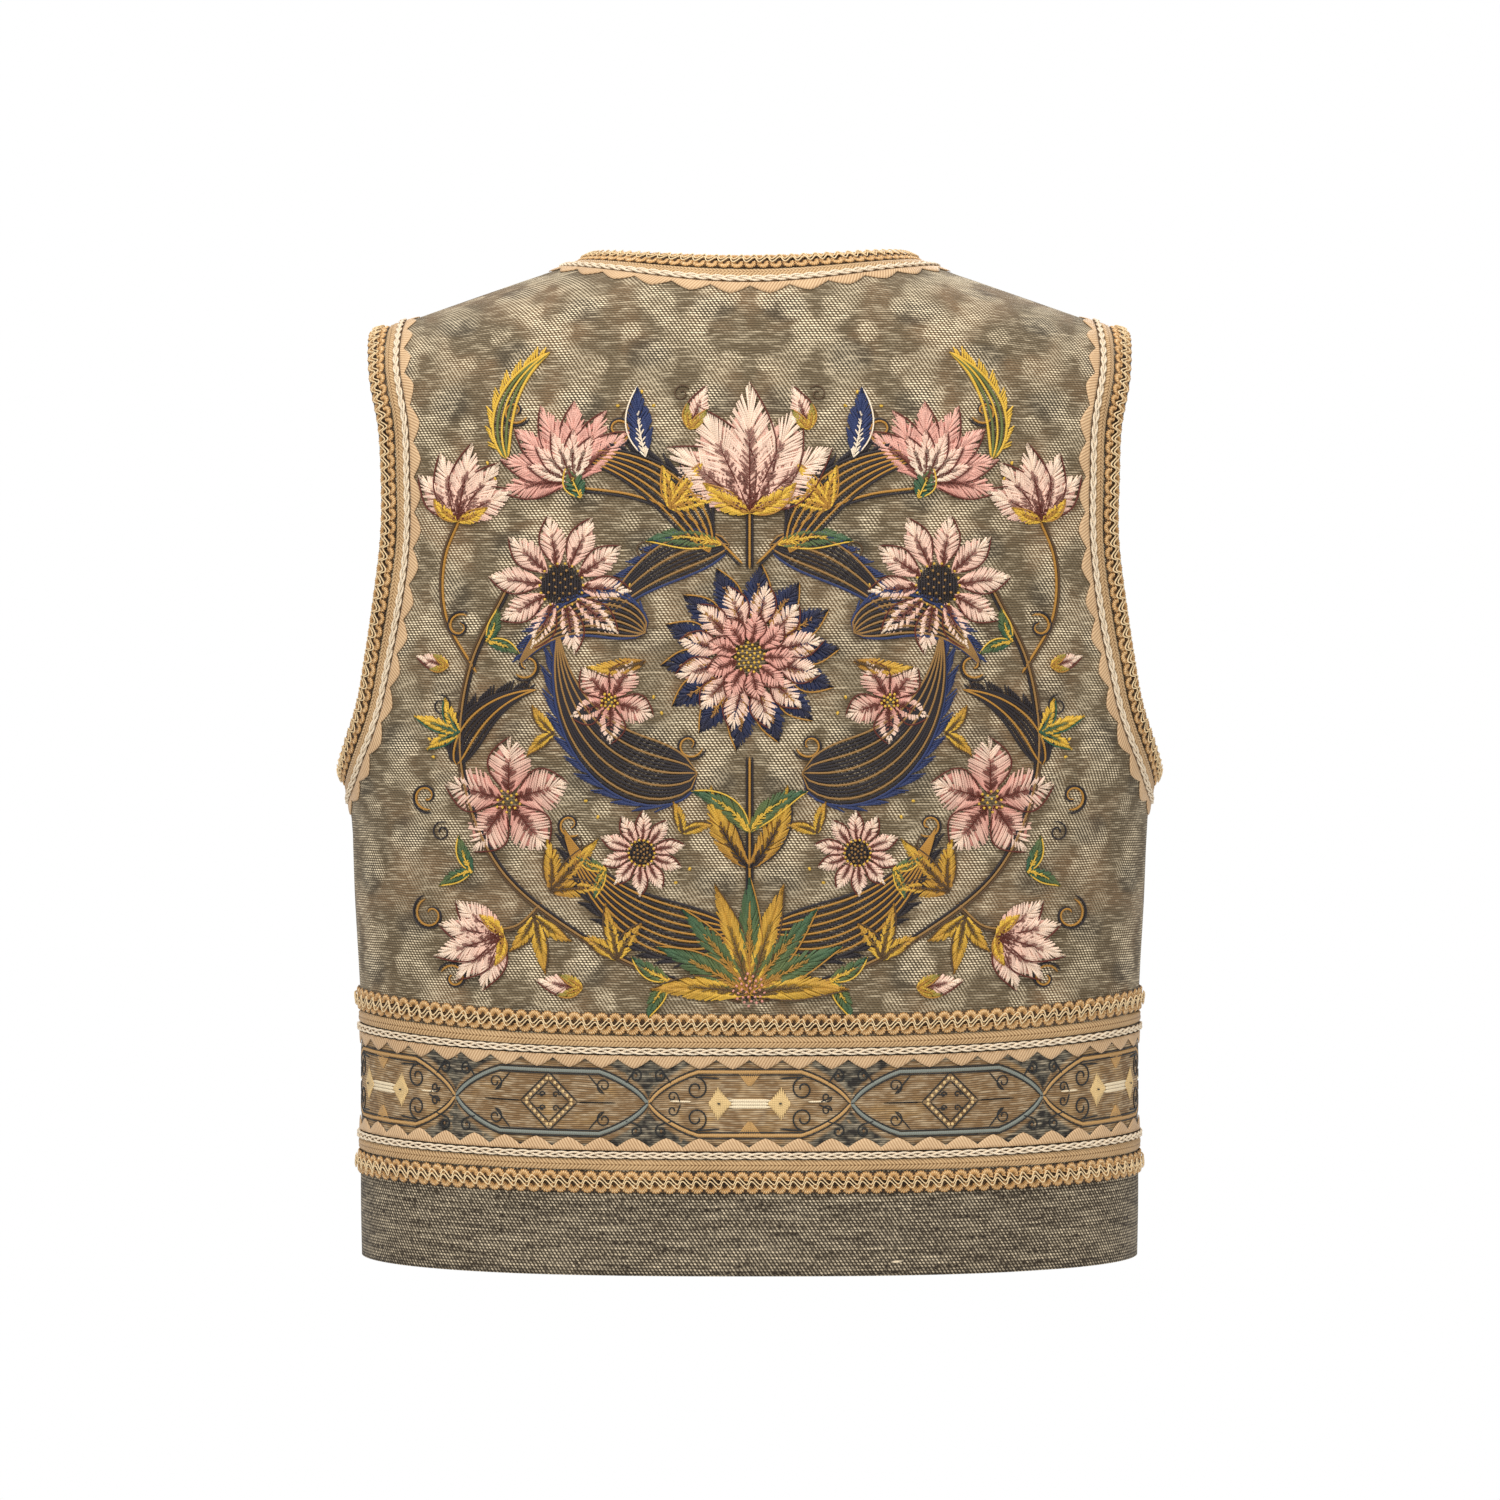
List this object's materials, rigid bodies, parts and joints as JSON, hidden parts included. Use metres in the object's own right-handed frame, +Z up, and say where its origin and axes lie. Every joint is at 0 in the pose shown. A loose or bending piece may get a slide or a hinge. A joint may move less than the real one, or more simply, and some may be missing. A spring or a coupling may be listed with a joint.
{
  "type": "waistcoat",
  "caption": "Round-necked sleeveless waistcoat, hollow as if worn, with an embroidered back, a patterned band round the waist and braid along its neck, armholes and band.",
  "frame": {"origin": "midway between the two points where the neck edge meets the shoulder seams, at the height where the garment sits on the shoulders", "axes": "+Z up, +Y forwards from the wearer's chest, +X to the wearer's right"},
  "size_m": [0.4322, 0.2147, 0.5236],
  "materials": {
    "brocade": "ribbed figured weave, matt with a faint sheen",
    "band": "figured weave, matt",
    "plain": "plain linen weave, matt",
    "gimp": "looped gimp braid with two zigzag cords, satin",
    "tape": "ridged woven tape, matt",
    "chain": "plaited cotton braid, matt",
    "teeth": "toothed ribbon edging, matt"
  },
  "bodies": {
    "root": {"back": "brocade", "front_left": "brocade", "front_right": "brocade", "back_band": "band", "front_band_left": "band", "front_band_right": "band", "back_hem": "plain", "front_hem_left": "plain", "front_hem_right": "plain", "neck_gimp": "gimp", "neck_tape": "tape", "neck_chain": "chain", "neck_teeth": "teeth", "armhole_left_gimp": "gimp", "armhole_left_tape": "tape", "armhole_left_chain": "chain", "armhole_left_teeth": "teeth", "armhole_right_gimp": "gimp", "armhole_right_tape": "tape", "armhole_right_chain": "chain", "armhole_right_teeth": "teeth", "upper_gimp": "gimp", "upper_tape": "tape", "upper_chain": "chain", "upper_teeth": "teeth", "lower_gimp": "gimp", "lower_tape": "tape", "lower_chain": "chain", "lower_teeth": "teeth"}
  },
  "joints": []
}
